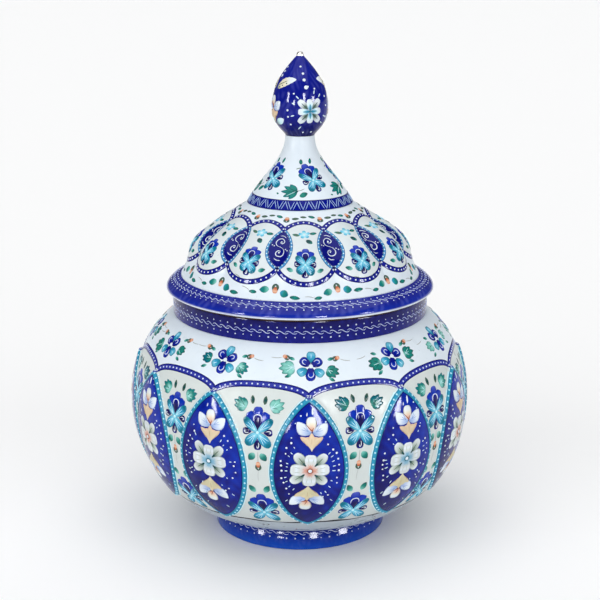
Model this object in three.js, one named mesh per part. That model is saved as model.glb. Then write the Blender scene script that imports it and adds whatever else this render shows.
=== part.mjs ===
// Lidded sugar bowl of enamelled copper: a raised bowl with almond bosses on a foot ring, a neck that
// takes a loose domed lid, and a spire with a bulb finial that one stud pulls down on the lid.
// Millimetres, +Z up, the bowl stands on z = 0 and its axis is the Z axis.
import * as THREE from 'three';

const TURN = 2 * Math.PI;
const DEGREE = Math.PI / 180;

// Sheet and clearances
const sheet = 1.4;
const lidSeatGap = 0.25;
const bezelGap = 0.7;
const studGap = 0.3;

// Foot
const footRadius = 39.0;
const footHeight = 10.5;
const footWall = 1.6;
const footBulge = 0.8;
const bowlBaseMargin = 1.6;

// Bowl
const bellyRadius = 75.0;
const bellyRise = 49.5;
const shoulderRise = 40.5;
const neckRadius = 56.7;
const neckHeight = 9.2;
const mouthRingHeight = 1.1;
const mouthRingOverhang = 0.5;

// Almond bosses raised in the bowl's wall, spaced by eye
const almondCount = 12;
const almondStart = 2.9 * DEGREE;
const almondDrift = 3.0 * DEGREE;
const almondHalfAngle = 12.75 * DEGREE;
const almondFootGap = 12.7;
const almondNeckGap = 17.9;
const almondHeadPower = 0.71;
const almondTailPower = 0.57;
const bossHeight = 1.8;

// Lid
const bezelDepth = 8.0;
const bezelWall = 1.2;
const lipOverhang = 2.8;
const lipThickness = 1.15;
const rimHeight = 6.15;
const rimTopInset = 3.7;
const waistInset = 3.4;
const waistRise = 8.8;
const crownRise = 23.2;
const crownTopRadius = 23.0;
const lobeCount = 12;
const lobeStart = 3.0 * DEGREE;
const lobeDepth = 3.4;

// Spire, bulb and tip
const spireOverhang = 0.4;
const spireHeight = 29.3;
const spireTopRadius = 6.4;
const spireWall = 1.2;
const spireCap = 1.8;
const bulbBaseRadius = 6.3;
const bulbRadius = 12.1;
const bulbBellyRise = 12.0;
const bulbHeight = 34.1;
const bulbWall = 2.0;
const bulbFloor = 3.0;
const tipRadius = 1.5;
const tipHeight = 1.7;

// Stud, washer and nut
const studRadius = 2.0;
const studReach = 6.0;
const studTail = 1.5;
const washerRadius = 5.5;
const washerThickness = 1.0;
const nutFlats = 7.0;
const nutHeight = 3.2;

// Steps round the axis and along a curve
const bowlSegments = 84;
const domeSegments = 72;
const ringSegments = 60;
const spireSegments = 32;
const studSegments = 20;
const longCurveSteps = 8;
const shortCurveSteps = 4;

// Heights that follow from the sizes above
const neckBase = footHeight + bellyRise + shoulderRise;
const mouthRingBase = neckBase + neckHeight;
const mouthHeight = mouthRingBase + mouthRingHeight;
const lidSeat = mouthHeight + lidSeatGap;
const rimTop = lidSeat + rimHeight;
const waistHeight = rimTop + waistRise;
const crownTop = waistHeight + crownRise;
const spireTop = crownTop + spireHeight;
const bulbTop = spireTop + bulbHeight;
const washerBase = crownTop - sheet - washerThickness;
const nutBase = washerBase - nutHeight;

// Radii that follow from the sizes above
const bowlBaseRadius = footRadius + bowlBaseMargin;
const mouthInnerRadius = neckRadius - sheet;
const bezelRadius = mouthInnerRadius - bezelGap;
const rimTopRadius = neckRadius - rimTopInset;
const waistRadius = rimTopRadius - waistInset;
const studHoleRadius = studRadius + studGap;

const enamelWhite = { color: 0xe9edf2, roughness: 0.18, metalness: 0.0 };
const enamelBlue = { color: 0x1f2c96, roughness: 0.16, metalness: 0.0 };
const bareBrass = { color: 0xb99a5b, roughness: 0.35, metalness: 1.0 };
const bareCopper = { color: 0xb8734a, roughness: 0.4, metalness: 1.0 };

function point(radius, height) {
  return new THREE.Vector2(radius, height);
}

// A profile curve whose handles are given as shares of its span in radius and in height
function profileCurve(start, end, startShare, endShare) {
  const span = end.clone().sub(start);
  const startHandle = start.clone().add(span.clone().multiply(point(...startShare)));
  const endHandle = end.clone().sub(span.clone().multiply(point(...endShare)));
  return new THREE.CubicBezierCurve(start, startHandle, endHandle, end);
}

// Points along joined curves, moved to the left of the way they run by the wall's thickness
function profilePoints(curves, steps, wall) {
  const points = [];
  curves.forEach((curve, index) => {
    for (let step = index === 0 ? 0 : 1; step <= steps; step += 1) {
      const place = curve.getPoint(step / steps);
      const tangent = curve.getTangent(step / steps);
      points.push(point(place.x - wall * tangent.y, place.y + wall * tangent.x));
    }
  });
  return points;
}

function nodeMesh(name, geometry, finish) {
  const mesh = new THREE.Mesh(geometry, new THREE.MeshStandardMaterial(finish));
  mesh.name = name;
  return mesh;
}

function turned(name, outline, segments, finish) {
  const geometry = new THREE.LatheGeometry(outline, segments);
  geometry.rotateX(Math.PI / 2);
  return nodeMesh(name, geometry, finish);
}

// A ring of rectangular section
function ringOutline(innerRadius, outerRadius, base, top) {
  return [
    point(innerRadius, base),
    point(outerRadius, base),
    point(outerRadius, top),
    point(innerRadius, top),
    point(innerRadius, base),
  ];
}

// Moves every point of a turned piece outwards by an amount that depends on its azimuth and height
function pressOut(mesh, amountAt) {
  const place = mesh.geometry.attributes.position;
  for (let index = 0; index < place.count; index += 1) {
    const x = place.getX(index);
    const y = place.getY(index);
    const radius = Math.hypot(x, y);
    if (radius > studHoleRadius) {
      const azimuth = Math.atan2(x, -y);
      const grown = 1 + amountAt(azimuth, place.getZ(index)) / radius;
      place.setXY(index, x * grown, y * grown);
    }
  }
  mesh.geometry.computeVertexNormals();
  return mesh;
}

function turnBetween(azimuth, other) {
  const turn = azimuth - other;
  return Math.abs(turn - TURN * Math.round(turn / TURN));
}

// Half the angle that an almond covers, from its pointed head (0) to its round tail (1)
function almondWidth(share) {
  const widest = almondHeadPower / (almondHeadPower + almondTailPower);
  const shape = (at) => at ** almondHeadPower * (1 - at) ** almondTailPower;
  return almondHalfAngle * shape(share) / shape(widest);
}

function almondBoss(azimuth, height) {
  const head = neckBase - almondNeckGap;
  const tail = footHeight + almondFootGap;
  const share = (head - height) / (head - tail);
  if (share <= 0 || share >= 1) {
    return 0;
  }
  let raised = 0;
  for (let index = 0; index < almondCount; index += 1) {
    const even = TURN * index / almondCount;
    const centre = almondStart + even + almondDrift * Math.sin(2 * even);
    const across = turnBetween(azimuth, centre) / almondWidth(share);
    if (across < 1) {
      raised = Math.max(raised, bossHeight * Math.sqrt(1 - across * across));
    }
  }
  return raised;
}

// The lid's lobes are full at their middle and drawn in along the lenses between them
function lobeValley(azimuth, height) {
  const share = (height - rimTop) / (crownTop - rimTop);
  if (share <= 0 || share >= 1) {
    return 0;
  }
  const across = Math.abs(Math.cos(lobeCount * (azimuth - lobeStart) / 2));
  return -lobeDepth * Math.sin(Math.PI * share) * (1 - across);
}

function footRing() {
  const inner = footRadius - footWall;
  const outside = new THREE.QuadraticBezierCurve(
    point(footRadius, 0),
    point(footRadius + footBulge, footHeight / 2),
    point(footRadius, footHeight),
  );
  const outline = [
    point(inner, 0),
    ...outside.getPoints(shortCurveSteps),
    point(inner, footHeight),
    point(inner, 0),
  ];
  return turned('foot_ring', outline, ringSegments, enamelBlue);
}

function bowlShell() {
  const base = point(bowlBaseRadius, footHeight);
  const belly = point(bellyRadius, footHeight + bellyRise);
  const neck = point(neckRadius, neckBase);
  const curves = [
    profileCurve(base, belly, [0.92, 0.17], [0, 0.19]),
    profileCurve(belly, neck, [0, 0.43], [0.71, 0.24]),
  ];
  const outside = profilePoints(curves, longCurveSteps, 0);
  const inside = profilePoints(curves, shortCurveSteps, sheet).reverse();
  inside[0].set(mouthInnerRadius, neckBase);
  const floor = inside[inside.length - 1].y;
  const outline = [point(0, footHeight), ...outside, ...inside, point(0, floor)];
  return pressOut(turned('bowl_shell', outline, bowlSegments, enamelWhite), almondBoss);
}

function neckCollar() {
  const outline = ringOutline(mouthInnerRadius, neckRadius, neckBase, mouthRingBase);
  return turned('neck_collar', outline, ringSegments, enamelBlue);
}

function mouthRing() {
  const outer = neckRadius + mouthRingOverhang;
  const outline = ringOutline(mouthInnerRadius, outer, mouthRingBase, mouthHeight);
  return turned('mouth_ring', outline, ringSegments, bareCopper);
}

function lidLocatingRing() {
  const outline = ringOutline(bezelRadius - bezelWall, bezelRadius, mouthHeight - bezelDepth, mouthHeight);
  return turned('lid_locating_ring', outline, ringSegments, bareCopper);
}

function lidRim() {
  const seatInner = bezelRadius - bezelWall;
  const lip = neckRadius + lipOverhang;
  const top = point(rimTopRadius, rimTop);
  const lipTop = point(lip, lidSeat + lipThickness);
  const roll = profileCurve(lipTop, top, [0, 0.3], [0.55, 0.25]);
  const outline = [
    point(seatInner, lidSeat),
    point(lip, lidSeat),
    ...roll.getPoints(shortCurveSteps),
    point(rimTopRadius - sheet, rimTop),
    point(seatInner, lidSeat),
  ];
  return turned('lid_rim', outline, ringSegments, enamelBlue);
}

function lidDome() {
  const base = point(rimTopRadius, rimTop);
  const waist = point(waistRadius, waistHeight);
  const crown = point(crownTopRadius, crownTop);
  const curves = [
    profileCurve(base, waist, [0.39, 0.26], [0.1, 0.35]),
    profileCurve(waist, crown, [0.09, 0.45], [0.62, 0.45]),
  ];
  const outside = profilePoints(curves, longCurveSteps, 0);
  const inside = profilePoints(curves, shortCurveSteps, sheet).reverse();
  inside[0].setY(crownTop - sheet);
  inside[inside.length - 1].set(rimTopRadius - sheet, rimTop);
  const outline = [
    ...outside,
    point(studHoleRadius, crownTop),
    point(studHoleRadius, crownTop - sheet),
    ...inside,
    outside[0],
  ];
  return pressOut(turned('lid_dome', outline, domeSegments, enamelWhite), lobeValley);
}

function lidSpire() {
  const foot = point(crownTopRadius + spireOverhang, crownTop);
  const top = point(spireTopRadius, spireTop);
  const curves = [profileCurve(foot, top, [0.34, 0.37], [0, 0.37])];
  const outside = profilePoints(curves, longCurveSteps, 0);
  const capUnderside = spireTop - spireCap;
  const inside = profilePoints(curves, longCurveSteps, spireWall);
  inside[0].set(foot.x - spireWall, crownTop);
  const hollow = inside.filter((place) => place.y < capUnderside).reverse();
  const outline = [
    ...outside,
    point(studHoleRadius, spireTop),
    point(studHoleRadius, capUnderside),
    point(spireTopRadius - spireWall, capUnderside),
    ...hollow,
    outside[0],
  ];
  return turned('lid_spire', outline, spireSegments, enamelWhite);
}

function finialBulb() {
  const base = point(bulbBaseRadius, spireTop);
  const belly = point(bulbRadius, spireTop + bulbBellyRise);
  const tip = point(tipRadius, bulbTop);
  const curves = [
    profileCurve(base, belly, [0.22, 0.19], [0, 0.62]),
    profileCurve(belly, tip, [0, 0.3], [0.9, 0.46]),
  ];
  const outside = profilePoints(curves, shortCurveSteps, 0);
  const floor = spireTop + bulbFloor;
  const inside = profilePoints(curves, shortCurveSteps, bulbWall).reverse();
  const hollow = inside.filter((place) => place.y > floor && place.x > tipRadius);
  const ceiling = hollow[0].y;
  const floorEdge = hollow[hollow.length - 1].x;
  const outline = [
    point(0, ceiling),
    ...hollow,
    point(floorEdge, floor),
    point(studHoleRadius, floor),
    point(studHoleRadius, spireTop),
    ...outside,
    point(0, bulbTop),
  ];
  return turned('finial_bulb', outline, spireSegments, enamelBlue);
}

function finialTip() {
  const dome = new THREE.QuadraticBezierCurve(
    point(tipRadius, bulbTop),
    point(tipRadius, bulbTop + tipHeight),
    point(0, bulbTop + tipHeight),
  );
  const outline = [point(0, bulbTop), ...dome.getPoints(shortCurveSteps)];
  return turned('finial_tip', outline, studSegments, bareBrass);
}

function finialStud() {
  const tail = nutBase - studTail;
  const head = spireTop + studReach;
  const outline = [
    point(0, tail),
    point(studRadius, tail),
    point(studRadius, head),
    point(0, head),
  ];
  return turned('finial_stud', outline, studSegments, bareBrass);
}

function studWasher() {
  const outline = ringOutline(studHoleRadius, washerRadius, washerBase, washerBase + washerThickness);
  return turned('stud_washer', outline, studSegments, bareBrass);
}

function studNut() {
  const corner = nutFlats / Math.sqrt(3);
  const hexagon = new THREE.Shape();
  for (let side = 0; side < 6; side += 1) {
    const turn = TURN * side / 6;
    const place = point(corner * Math.cos(turn), corner * Math.sin(turn));
    if (side === 0) {
      hexagon.moveTo(place.x, place.y);
    } else {
      hexagon.lineTo(place.x, place.y);
    }
  }
  hexagon.closePath();
  const bore = new THREE.Path();
  bore.absarc(0, 0, studHoleRadius, 0, TURN, true);
  hexagon.holes.push(bore);
  const geometry = new THREE.ExtrudeGeometry(hexagon, {
    depth: nutHeight,
    bevelEnabled: false,
    curveSegments: studSegments,
  });
  const mesh = nodeMesh('stud_nut', geometry, bareBrass);
  mesh.position.z = nutBase;
  return mesh;
}

const bowl = new THREE.Group();
bowl.add(footRing(), bowlShell(), neckCollar(), mouthRing());

const lid = new THREE.Group();
lid.add(lidLocatingRing(), lidRim(), lidDome(), lidSpire());
lid.add(finialBulb(), finialTip(), finialStud(), studWasher(), studNut());

const sugarBowl = new THREE.Group();
sugarBowl.add(bowl, lid);

export default sugarBowl;
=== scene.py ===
import math
import random

import bpy
import numpy as np
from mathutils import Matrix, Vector


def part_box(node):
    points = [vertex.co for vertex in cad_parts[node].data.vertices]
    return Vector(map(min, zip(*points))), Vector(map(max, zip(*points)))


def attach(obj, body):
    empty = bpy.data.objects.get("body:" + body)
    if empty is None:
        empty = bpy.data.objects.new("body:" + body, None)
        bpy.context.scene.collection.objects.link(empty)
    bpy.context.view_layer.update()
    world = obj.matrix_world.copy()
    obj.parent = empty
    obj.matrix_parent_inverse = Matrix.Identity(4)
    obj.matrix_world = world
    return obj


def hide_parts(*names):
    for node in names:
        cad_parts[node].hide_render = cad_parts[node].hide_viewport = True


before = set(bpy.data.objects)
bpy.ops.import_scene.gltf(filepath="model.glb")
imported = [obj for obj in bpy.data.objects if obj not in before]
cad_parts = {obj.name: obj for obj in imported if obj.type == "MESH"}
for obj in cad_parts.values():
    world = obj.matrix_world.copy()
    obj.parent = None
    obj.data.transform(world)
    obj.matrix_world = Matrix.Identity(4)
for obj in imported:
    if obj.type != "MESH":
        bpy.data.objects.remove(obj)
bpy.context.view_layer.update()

# Looks of an enamelled copper sugar bowl. Lengths are in millimetres until a mesh is made. A place on a
# turned surface is an azimuth (0 towards -Y, growing towards +X) and a way along the profile from its foot.
MM = 0.001
TURN = 2 * math.pi
DEGREE = math.pi / 180
dice = random.Random(11)


def vary(most):
    """A random number from minus to plus the most."""
    return dice.uniform(-most, most)


def extent(node):
    """A solid's lowest and highest height and its radius."""
    (_, _, low), (radius, _, high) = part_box(node)
    return low / MM, high / MM, radius / MM


# Heights and radii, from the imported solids
_, FOOT_TOP, _ = extent("foot_ring")
NECK_BASE, COLLAR_TOP, NECK_RADIUS = extent("neck_collar")
_, MOUTH_TOP, MOUTH_RADIUS = extent("mouth_ring")
RING_LOW, _, RING_RADIUS = extent("lid_locating_ring")
LID_SEAT, RIM_TOP, LIP_RADIUS = extent("lid_rim")
CROWN_TOP, SPIRE_TOP, SPIRE_FOOT = extent("lid_spire")
_, BULB_TOP, BULB_RADIUS = extent("finial_bulb")
_, TIP_TOP, _ = extent("finial_tip")
STUD_LOW, STUD_HIGH, STUD_RADIUS = extent("finial_stud")
WASHER_LOW, WASHER_HIGH, WASHER_RADIUS = extent("stud_washer")
NUT_LOW, NUT_HIGH, NUT_CORNER = extent("stud_nut")

# Sizes of the turned forms
SHEET = 1.4
FOOT_RADIUS = 39.0
FOOT_WALL = 1.6
FOOT_INNER = FOOT_RADIUS - FOOT_WALL
FOOT_SWELL = 0.38
FOOT_ROLL = 1.05
BOWL_BASE_RADIUS = 40.6
BELLY_RADIUS = 75.0
BELLY_HEIGHT = 60.0
BOSS = 1.5
ALMONDS = 12
ALMOND_START = 2.9 * DEGREE
ALMOND_DRIFT = 3.0 * DEGREE
ALMOND_HALF = 12.75 * DEGREE
ALMOND_HEAD = NECK_BASE - 17.9
ALMOND_TAIL = FOOT_TOP + 12.7
ALMOND_SHAPE = (0.71, 0.57)
NECK_INNER = NECK_RADIUS - SHEET
RING_WALL = 1.2
RING_INNER = RING_RADIUS - RING_WALL
RING_TAPER = 0.3
RING_TAPER_HEIGHT = 1.2
RIM_TOP_RADIUS = 53.0
WAIST_RADIUS = 49.6
WAIST_HEIGHT = 126.0
CROWN_RADIUS = 23.0
LOBES = 12
LOBE_START = 3.0 * DEGREE
LOBE_DEPTH = 3.4
SPIRE_TOP_RADIUS = 6.4
SPIRE_WALL = 1.2
CAP_SHEET = 1.8
SPIRE_CAP = SPIRE_TOP - CAP_SHEET
BULB_BASE_RADIUS = 6.3
BULB_BELLY = SPIRE_TOP + 12.0
BULB_WALL = 2.0
BULB_FLOOR = SPIRE_TOP + 3.0
TIP_RADIUS = 1.5
STUD_HOLE = 2.3


def tone(red, green, blue):
    """A display colour from 0 to 255 as linear light."""
    shares = np.array([red, green, blue]) / 255
    return np.where(shares <= 0.04045, shares / 12.92, ((shares + 0.055) / 1.055) ** 2.4)


WHITE = tone(218, 228, 236)
PURE = tone(222, 231, 238)
CREAM = tone(204, 211, 209)
# A greyer white for below the base line, partly painted shade under the belly
GREYISH = tone(180, 191, 200)
NAVY = tone(4, 18, 128)
COBALT = tone(6, 50, 172)
DEEP = tone(10, 4, 76)
VIOLET = tone(30, 40, 146)
LILAC = tone(112, 122, 208)
TURQUOISE = tone(50, 156, 196)
AQUA = tone(122, 202, 224)
PALE = tone(200, 236, 243)
TEAL = tone(4, 104, 124)
GREEN = tone(28, 128, 116)
MINT = tone(128, 200, 188)
FOREST = tone(10, 68, 70)
OLIVE = tone(78, 102, 82)
ORANGE = tone(214, 122, 84)
PEACH = tone(226, 184, 154)
BROWN = tone(140, 64, 34)
OCHRE = tone(216, 195, 162)
SAND = tone(226, 216, 192)
KHAKI = tone(204, 196, 160)
GREY = tone(150, 152, 150)
SLATE = tone(112, 150, 206)
INK = tone(22, 22, 38)
IVORY = tone(206, 212, 210)
SAGE = tone(162, 178, 166)
MIST = tone(190, 204, 236)


def mix(one, other, share):
    """A colour between two, or as many as there are shares."""
    share = np.expand_dims(np.clip(share, 0, 1), -1)
    return np.asarray(one) * (1 - share) + np.asarray(other) * share


def curve(start, end, start_share, end_share, steps):
    """A profile curve whose handles are shares of its span in radius and in height."""
    start, end = np.array((start, end), float)
    span = end - start
    handle = start + span * start_share
    other = end - span * end_share
    t = np.linspace(0, 1, steps + 1)[:, None]
    return (1 - t) ** 3 * start + 3 * (1 - t) ** 2 * t * handle + 3 * (1 - t) * t * t * other + t ** 3 * end


def joined(first, second):
    return np.vstack([first, second[1:]])


def rounded(corners, radius, steps=4):
    """A closed outline whose corners are rounded off."""
    corners = np.array(corners, float)
    points = []
    for index, corner in enumerate(corners):
        before = corners[index - 1] - corner
        after = corners[(index + 1) % len(corners)] - corner
        cut = min(radius, 0.45 * np.hypot(*before), 0.45 * np.hypot(*after))
        begin = corner + before * cut / np.hypot(*before)
        finish = corner + after * cut / np.hypot(*after)
        for step in range(steps + 1):
            t = step / steps
            points.append((1 - t) ** 2 * begin + 2 * (1 - t) * t * corner + t * t * finish)
    return np.array(points)


def run(points):
    """How far along a path each of its points is."""
    return np.concatenate([[0], np.cumsum(np.hypot(*np.diff(points, axis=0).T))])


def resampled(points, count):
    """The same path in steps of equal length."""
    way = run(points)
    even = np.linspace(0, way[-1], count)
    return np.stack([np.interp(even, way, axis) for axis in points.T], -1)


def smooth(points, count):
    """A smooth path through a few points."""
    points = np.array(points, float)
    for _ in range(3):
        before, after = points[:-1], points[1:]
        inner = np.stack([before * 0.75 + after * 0.25, before * 0.25 + after * 0.75], 1)
        points = np.vstack([points[:1], inner.reshape(-1, 2), points[-1:]])
    return resampled(points, count)


def eased(start, end, count):
    """Shares of a way, closer together at its ends."""
    return 0.5 - 0.5 * np.cos(np.linspace(start, end, count) * math.pi)


def leaf_width(width, shape, share):
    """Width of a leaf at a share of its length, from how fast it opens and closes."""
    opens, closes = shape
    widest = opens / (opens + closes)
    peak = widest ** opens * (1 - widest) ** closes
    return width * share ** opens * (1 - share) ** closes / peak


def turn_between(azimuth, other):
    turn = azimuth - other
    return turn - TURN * np.round(turn / TURN)


def full_turn(count):
    """Azimuths of so many even steps round the axis."""
    return np.arange(count) * TURN / count


def round_axis(r, azimuth, z):
    return np.stack([r * np.sin(azimuth), -r * np.cos(azimuth), z], -1)


# Almonds that are pressed out of the bowl, and lobes of the dome
CENTRES = np.array([ALMOND_START + even + ALMOND_DRIFT * math.sin(2 * even) for even in full_turn(ALMONDS)])
GAPS = np.mod(np.roll(CENTRES, -1) - CENTRES, TURN)


def almond_share(z):
    """How far down an almond a height is, from its pointed head (0) to its round tail (1)."""
    return (ALMOND_HEAD - z) / (ALMOND_HEAD - ALMOND_TAIL)


def almond_width(share):
    """Half the angle of an almond."""
    return leaf_width(ALMOND_HALF, ALMOND_SHAPE, np.clip(share, 0, 1))


def nearest_almond(azimuth):
    """The turn from the middle of the nearest almond."""
    turns = turn_between(azimuth[..., None], CENTRES)
    pick = np.abs(turns).argmin(-1)
    return np.take_along_axis(turns, pick[..., None], -1)[..., 0]


def boss(azimuth, z):
    width = almond_width(almond_share(z))
    across = np.abs(nearest_almond(azimuth)) / np.maximum(width, 1e-6)
    return BOSS * np.sqrt(np.clip(1 - across * across, 0, 1))


def lobes(azimuth, z):
    share = np.clip((z - RIM_TOP) / (CROWN_TOP - RIM_TOP), 0, 1)
    across = np.abs(np.cos(LOBES * (azimuth - LOBE_START) / 2))
    return -LOBE_DEPTH * np.sin(math.pi * share) * (1 - across)


class Surface:
    """The outside of a turned form, with what is pressed out of it."""

    def __init__(self, body, profile, press=None):
        self.body, self.profile, self.press = body, profile, press
        self.r, self.z = profile.T
        self.way = run(profile)
        along_r, along_z = np.gradient(self.r, self.way), np.gradient(self.z, self.way)
        length = np.hypot(along_r, along_z)
        self.out_r, self.out_z = along_z / length, -along_r / length

    def along(self, z):
        return np.interp(z, self.z, self.way)

    def radius(self, way):
        return np.interp(way, self.way, self.r)

    def place(self, azimuth, way, lift):
        z = np.interp(way, self.way, self.z)
        r = self.radius(way) + lift * np.interp(way, self.way, self.out_r)
        if self.press:
            r = r + self.press(azimuth, z)
        return round_axis(r, azimuth, z + lift * np.interp(way, self.way, self.out_z))

    def inside(self, wall, count):
        """The profile of the wall's inside, from top to bottom."""
        points = np.stack([self.r - wall * self.out_r, self.z - wall * self.out_z], -1)
        return resampled(points[::-1], count)


BOWL = Surface("bowl", joined(
    curve((BOWL_BASE_RADIUS, FOOT_TOP), (BELLY_RADIUS, BELLY_HEIGHT), (0.92, 0.17), (0, 0.19), 160),
    curve((BELLY_RADIUS, BELLY_HEIGHT), (NECK_RADIUS, NECK_BASE), (0, 0.43), (0.71, 0.24), 160)), boss)
DOME = Surface("lid", joined(
    curve((RIM_TOP_RADIUS, RIM_TOP), (WAIST_RADIUS, WAIST_HEIGHT), (0.39, 0.26), (0.1, 0.35), 60),
    curve((WAIST_RADIUS, WAIST_HEIGHT), (CROWN_RADIUS, CROWN_TOP), (0.09, 0.45), (0.62, 0.45), 160)), lobes)
SPIRE = Surface("lid", curve((SPIRE_FOOT, CROWN_TOP), (SPIRE_TOP_RADIUS, SPIRE_TOP), (0.34, 0.37),
                             (0, 0.37), 160))
BULB = Surface("lid", joined(
    curve((BULB_BASE_RADIUS, SPIRE_TOP), (BULB_RADIUS, BULB_BELLY), (0.22, 0.19), (0, 0.62), 80),
    curve((BULB_RADIUS, BULB_BELLY), (TIP_RADIUS, BULB_TOP), (0, 0.3), (0.9, 0.46), 120)))
RIM = Surface("lid", curve((LIP_RADIUS, LID_SEAT + 1.15), (RIM_TOP_RADIUS, RIM_TOP), (0, 0.3),
                           (0.55, 0.25), 60))
NECK = Surface("bowl", np.array([[NECK_RADIUS, NECK_BASE], [NECK_RADIUS, COLLAR_TOP]]))
foot_rise = np.linspace(0, 1, 40)
foot_step = np.clip((foot_rise - 0.4) / 0.45, 0, 1)
foot_swell = FOOT_SWELL * np.clip(foot_rise / 0.4, 0, 1) - FOOT_ROLL * foot_step ** 2 * (3 - 2 * foot_step)
FOOT = Surface("bowl", np.stack([FOOT_RADIUS + foot_swell, FOOT_TOP * foot_rise], -1))


# Materials
class Nodes:
    """Short ways to add shader nodes to a material."""

    def __init__(self, name):
        self.material = bpy.data.materials.new(name)
        self.material.use_nodes = True
        self.tree = self.material.node_tree
        self.shader = self.tree.nodes["Principled BSDF"]
        self.place = self.add("TexCoord", {}).outputs["Object"]

    def fill(self, node, values):
        """Links sockets to other nodes' outputs, or sets numbers and colours on them."""
        for name, value in values.items():
            if isinstance(value, bpy.types.NodeSocket):
                self.tree.links.new(value, node.inputs[name])
            else:
                node.inputs[name].default_value = value

    def add(self, kind, values):
        node = self.tree.nodes.new("ShaderNode" + kind)
        self.fill(node, values)
        return node

    def noise(self, scale, detail, rough=0.55, stretch=None):
        place = self.place
        if stretch:
            place = self.add("Mapping", {"Scale": stretch, "Vector": place}).outputs["Vector"]
        values = {"Scale": scale, "Detail": detail, "Roughness": rough, "Vector": place}
        return self.add("TexNoise", values).outputs["Fac"]

    def range(self, source, *limits):
        """Maps one range to another, each given by its low and its high end."""
        names = ("From Min", "From Max", "To Min", "To Max")
        return self.add("MapRange", {"Value": source, **dict(zip(names, limits))}).outputs["Result"]

    def blend(self, kind, share, one, other):
        """Mixes two colours, each an output or three numbers."""
        one, other = ((*shade, 1) if isinstance(shade, tuple) else shade for shade in (one, other))
        node = self.add("Mix", {})
        node.data_type, node.blend_type = "RGBA", kind
        self.fill(node, {0: share, 6: one, 7: other})
        return node.outputs[2]

    def grey(self, colour):
        return self.add("RGBToBW", {"Color": colour}).outputs["Val"]

    def times(self, one, other):
        node = self.add("Math", {0: one, 1: other})
        node.operation = "MULTIPLY"
        return node.outputs["Value"]

    def paint(self):
        node = self.add("Attribute", {})
        node.attribute_name = "paint"
        return node.outputs["Color"]

    def bump(self, *heights):
        """Adds up bumps, each a height with its strength and its depth in metres."""
        normal = {}
        for height, strength, depth in heights:
            node = self.add("Bump", {"Strength": strength, "Distance": depth, "Height": height, **normal})
            normal = {"Normal": node.outputs["Normal"]}
        self.fill(self.shader, normal)


PALE_SATIN = 0.36


def enamel(name, cloud, cloud_shade, streak, streak_shade, gloss, wave):
    """Fired enamel: paint with clouding, brush streaks and pits, and a softer gloss where it is pale."""
    nodes = Nodes(name)
    paint = nodes.paint()
    clouding = nodes.range(nodes.noise(70, 4), 0.35, 0.7, 0, cloud)
    colour = nodes.blend("MULTIPLY", clouding, paint, cloud_shade)
    streaks = nodes.range(nodes.noise(320, 4, 0.6, (1, 1, 0.25)), 0.45, 0.75, 0, streak)
    colour = nodes.blend("MULTIPLY", streaks, colour, streak_shade)
    pits = nodes.range(nodes.noise(900, 2), 0.72, 0.78, 0, 0.5)
    colour = nodes.blend("MULTIPLY", pits, colour, (0.45, 0.45, 0.5))
    satin = nodes.range(nodes.grey(paint), 0.12, 0.5, gloss, PALE_SATIN)
    uneven = nodes.range(nodes.noise(160, 3), 0.3, 0.7, 0.7, 1.4)
    nodes.fill(nodes.shader, {"Base Color": colour, "Roughness": nodes.times(satin, uneven), "IOR": 1.5,
                              "Specular IOR Level": 0.18})
    nodes.bump((nodes.noise(120, 2), wave, 0.0006), (nodes.noise(700, 2), wave * 0.5, 0.0002))
    return nodes.material


def bare_metal(name, shade, tarnish, rough):
    """Turned or filed metal with tarnish in patches."""
    nodes = Nodes(name)
    patches = nodes.range(nodes.noise(260, 5, 0.65), 0.4, 0.68, 0, 1)
    lines = nodes.noise(900, 3, 0.6, (0.1, 0.1, 4))
    colour = nodes.blend("MIX", patches, shade, tarnish)
    colour = nodes.blend("MULTIPLY", nodes.range(lines, 0.4, 0.7, 0, 0.35), colour, (0.6, 0.58, 0.55))
    nodes.fill(nodes.shader, {"Base Color": colour, "Metallic": 1.0,
                              "Roughness": nodes.range(patches, 0, 1, rough, rough + 0.25)})
    nodes.bump((lines, 0.25, 0.0002))
    return nodes.material


# Each finish is a material with the record's slot
GROUND = (enamel("white_ground", 0.22, (0.80, 0.84, 0.90), 0.14, (0.88, 0.88, 0.84), 0.09, 0.18),
          "white_enamel")
BLUE = (enamel("blue_ground", 0.45, (0.55, 0.45, 0.66), 0.30, (0.50, 0.60, 0.80), 0.085, 0.06),
        "blue_enamel")
# Copper nearly black: its own tarnish, and painted shadow for the gap under the lid's lip
COPPER_WITH_PAINTED_SHADE = (bare_metal("bare_copper", (0.045, 0.026, 0.02), (0.01, 0.008, 0.008), 0.42), "bare_copper")
BRASS = (bare_metal("bare_brass", (0.55, 0.40, 0.18), (0.24, 0.16, 0.08), 0.28), "bare_brass")
PEWTER = (bare_metal("tip_metal", (0.80, 0.78, 0.74), (0.52, 0.50, 0.47), 0.26), "bare_brass")
brush = enamel("brush_work", 0.16, (0.78, 0.82, 0.88), 0.30, (0.74, 0.80, 0.86), 0.12, 0.2)


# Meshes
def mesh_object(name, points, polygons, colours):
    mesh = bpy.data.meshes.new(name)
    loops = np.concatenate([np.ravel(part) for part in polygons]).astype(np.int32)
    sizes = np.concatenate([np.full(len(part), np.shape(part)[1]) for part in polygons])
    starts = np.concatenate([[0], np.cumsum(sizes)[:-1]]).astype(np.int32)
    mesh.vertices.add(len(points))
    mesh.vertices.foreach_set("co", np.ravel(points * MM).astype(np.float32))
    mesh.loops.add(len(loops))
    mesh.loops.foreach_set("vertex_index", loops)
    mesh.polygons.add(len(sizes))
    mesh.polygons.foreach_set("loop_start", starts)
    mesh.update(calc_edges=True)
    mesh.validate()
    mesh.shade_smooth()
    paint = mesh.color_attributes.new("paint", "FLOAT_COLOR", "POINT")
    shades = np.concatenate([np.clip(colours, 0, 1), np.ones((len(points), 1))], 1)
    paint.data.foreach_set("color", np.ravel(shades).astype(np.float32))
    piece = bpy.data.objects.new(name, mesh)
    bpy.context.scene.collection.objects.link(piece)
    return piece


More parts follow.
